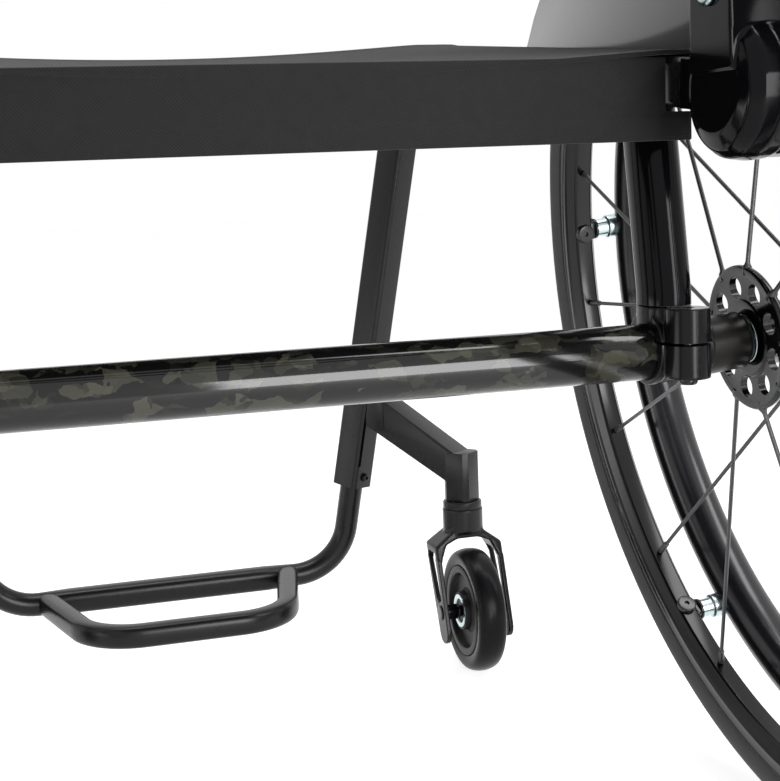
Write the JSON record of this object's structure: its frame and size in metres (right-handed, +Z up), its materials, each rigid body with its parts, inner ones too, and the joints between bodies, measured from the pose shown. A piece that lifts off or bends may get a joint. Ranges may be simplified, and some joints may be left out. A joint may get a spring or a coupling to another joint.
{
  "type": "active wheelchair",
  "caption": "Rigid-frame active wheelchair with a cross axle tube, cambered push wheels with handrims, front casters, tubular footrest and a folding backrest.",
  "frame": {"origin": "centre of the chair's footprint box on the floor", "axes": "+Z up from the floor, the chair faces -Y, +X towards the chair's own left side"},
  "size_m": [0.7282, 0.8021, 0.8079],
  "materials": {
    "forged_carbon": "glossy clear coat over marbled black and olive-grey carbon flakes",
    "gloss_frame": "gloss black",
    "satin_frame": "satin black",
    "grey_barrel": "dark grey anodised",
    "black_anodised": "gloss black anodised",
    "handrim_black": "gloss black coating",
    "rim_black": "satin black",
    "tyre_rubber": "matte dark grey",
    "caster_rubber": "smooth black",
    "steel": "zinc plated",
    "black_plastic": "satin black",
    "seat_fabric": "woven dark grey",
    "guard_panel": "satin black"
  },
  "bodies": {
    "frame": {"axle_tube": "forged_carbon", "axle_clamp_left": "satin_frame", "axle_clamp_right": "satin_frame", "clamp_bolt_left": "steel", "clamp_bolt_right": "steel", "camber_plug_left": "grey_barrel", "camber_plug_right": "grey_barrel", "side_frame_left": "satin_frame", "side_frame_right": "satin_frame", "rear_strut_left": "gloss_frame", "rear_strut_right": "gloss_frame", "caster_arm_left": "satin_frame", "caster_arm_right": "satin_frame", "stem_bearing_left": "satin_frame", "stem_bearing_right": "satin_frame", "footrest_frame": "satin_frame", "footrest_loop": "satin_frame", "footrest_screw_left": "steel", "footrest_screw_right": "steel", "seat_sling": "seat_fabric", "seat_flap": "seat_fabric", "side_guard_left": "guard_panel", "side_guard_right": "guard_panel", "guard_bolt_left": "steel", "guard_bolt_right": "steel", "back_bracket_left": "gloss_frame", "back_bracket_right": "gloss_frame", "back_pivot_pin_left": "steel", "back_pivot_pin_right": "steel"},
    "backrest": {"back_post_left": "gloss_frame", "back_post_right": "gloss_frame", "post_cap_left": "black_plastic", "post_cap_right": "black_plastic", "back_crossbar": "gloss_frame", "back_upholstery": "seat_fabric"},
    "axle_left": {"quick_release_axle_left": "steel"},
    "axle_right": {"quick_release_axle_right": "steel"},
    "button_left": {"release_button_left": "steel"},
    "button_right": {"release_button_right": "steel"},
    "wheel_left": {"tyre_left": "tyre_rubber", "rim_left": "rim_black", "handrim_left": "handrim_black", "hub_and_spokes_left": "black_anodised", "hub_bearing_left": "steel"},
    "wheel_right": {"tyre_right": "tyre_rubber", "rim_right": "rim_black", "handrim_right": "handrim_black", "hub_and_spokes_right": "black_anodised", "hub_bearing_right": "steel"},
    "fork_left": {"caster_fork_left": "satin_frame", "caster_axle_bolt_left": "steel"},
    "fork_right": {"caster_fork_right": "satin_frame", "caster_axle_bolt_right": "steel"},
    "caster_left": {"caster_core_left": "black_plastic", "caster_tyre_left": "caster_rubber"},
    "caster_right": {"caster_core_right": "black_plastic", "caster_tyre_right": "caster_rubber"}
  },
  "joints": [
    {"name": "back_fold", "type": "hinge", "parent": "frame", "child": "backrest", "pos_m": [0, 0.16738, 0.474], "axis": [1, 0, 0], "range_deg": [0, 89]},
    {"name": "axle_slide_left", "type": "slide", "parent": "frame", "child": "axle_left", "axis": [0.994, 0, 0.1097], "range_m": [0, 0.12]},
    {"name": "axle_slide_right", "type": "slide", "parent": "frame", "child": "axle_right", "axis": [-0.994, 0, 0.1097], "range_m": [0, 0.12]},
    {"name": "button_push_left", "type": "slide", "parent": "axle_left", "child": "button_left", "axis": [-0.994, 0, -0.1097], "range_m": [0, 0.003], "stiffness_N_per_m": 500},
    {"name": "button_push_right", "type": "slide", "parent": "axle_right", "child": "button_right", "axis": [0.994, 0, -0.1097], "range_m": [0, 0.003], "stiffness_N_per_m": 500},
    {"name": "wheel_spin_left", "type": "hinge", "parent": "axle_left", "child": "wheel_left", "pos_m": [0.28, 0.09608, 0.30323], "axis": [0.994, 0, 0.1097], "continuous": true},
    {"name": "wheel_spin_right", "type": "hinge", "parent": "axle_right", "child": "wheel_right", "pos_m": [-0.28, 0.09608, 0.30323], "axis": [-0.994, 0, 0.1097], "continuous": true},
    {"name": "fork_swivel_left", "type": "hinge", "parent": "frame", "child": "fork_left", "pos_m": [0.2263, -0.30592, 0.15], "axis": [0, 0, 1], "continuous": true},
    {"name": "fork_swivel_right", "type": "hinge", "parent": "frame", "child": "fork_right", "pos_m": [-0.2263, -0.30592, 0.15], "axis": [0, 0, 1], "continuous": true},
    {"name": "caster_roll_left", "type": "hinge", "parent": "fork_left", "child": "caster_left", "pos_m": [0.2263, -0.28592, 0.0488], "axis": [1, 0, 0], "continuous": true},
    {"name": "caster_roll_right", "type": "hinge", "parent": "fork_right", "child": "caster_right", "pos_m": [-0.2263, -0.28592, 0.0488], "axis": [1, 0, 0], "continuous": true}
  ]
}
